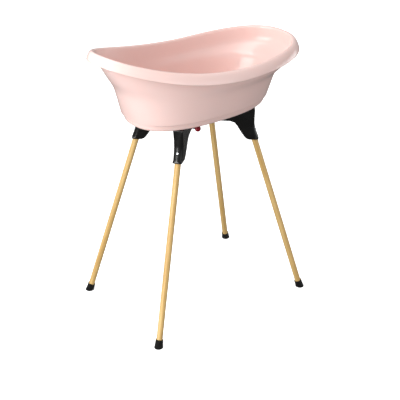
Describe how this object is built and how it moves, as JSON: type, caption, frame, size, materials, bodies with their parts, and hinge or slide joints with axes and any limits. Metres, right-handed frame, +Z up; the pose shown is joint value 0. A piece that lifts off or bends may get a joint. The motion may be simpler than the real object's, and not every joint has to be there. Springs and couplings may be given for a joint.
{
  "type": "baby bathtub",
  "caption": "Boat-shaped baby bathtub with a high backrest end and a turned-down lip, on a folding crossed stand with splayed wooden legs, black brackets and a red lock knob.",
  "frame": {"origin": "on the floor, under the middle of the stand and of the tub's overall length", "axes": "+Z up, X along the tub from the high backrest end (-X) to the broad foot end (+X), Y across the tub"},
  "size_m": [0.794, 0.4742, 0.9919],
  "materials": {
    "pink_shell": "pale pink moulded polypropylene, smooth satin gloss",
    "white_fitting": "off-white moulded plastic",
    "black_moulding": "black moulded plastic, smooth gloss with a faint grain",
    "black_rubber": "matt black rubber",
    "red_knob": "deep red gloss plastic",
    "light_wood": "light turned hardwood, clear satin varnish",
    "bright_steel": "zinc-plated steel"
  },
  "bodies": {
    "stand": {"beam_lower": "black_moulding", "pivot_bolt": "bright_steel", "pivot_washer": "bright_steel", "pivot_nut": "bright_steel", "pivot_cover": "black_moulding", "slip_washer": "white_fitting", "lock_bush": "black_moulding", "lock_spring": "bright_steel", "leg_front": "light_wood", "foot_front": "black_rubber", "leg_screw_front": "bright_steel", "grip_pad_front": "black_rubber", "leg_back": "light_wood", "foot_back": "black_rubber", "leg_screw_back": "bright_steel", "grip_pad_back": "black_rubber"},
    "swing_frame": {"beam_upper": "black_moulding", "leg_left": "light_wood", "foot_left": "black_rubber", "leg_screw_left": "bright_steel", "grip_pad_left": "black_rubber", "leg_right": "light_wood", "foot_right": "black_rubber", "leg_screw_right": "bright_steel", "grip_pad_right": "black_rubber"},
    "lock": {"lock_knob": "red_knob", "lock_pin": "bright_steel"},
    "tub": {"tub_shell": "pink_shell", "drain_body": "white_fitting", "drain_gasket": "black_rubber", "drain_nut": "white_fitting"},
    "plug": {"drain_plug": "white_fitting", "plug_ring": "bright_steel"}
  },
  "joints": [
    {"name": "tub_lift", "type": "slide", "parent": "stand", "child": "tub", "axis": [0, 0, 1], "range_m": [0, 0.15]},
    {"name": "plug_lift", "type": "slide", "parent": "tub", "child": "plug", "axis": [0, 0, 1], "range_m": [0, 0.3]},
    {"name": "frame_fold", "type": "hinge", "parent": "stand", "child": "swing_frame", "pos_m": [0, 0, 0.699], "axis": [0, 0, -1], "range_deg": [0, 76]},
    {"name": "lock_pull", "type": "slide", "parent": "stand", "child": "lock", "axis": [0, 0, -1], "range_m": [0, 0.007], "stiffness_N_per_m": 900, "springref_m": -0.004, "deforming": ["lock_spring"]}
  ]
}
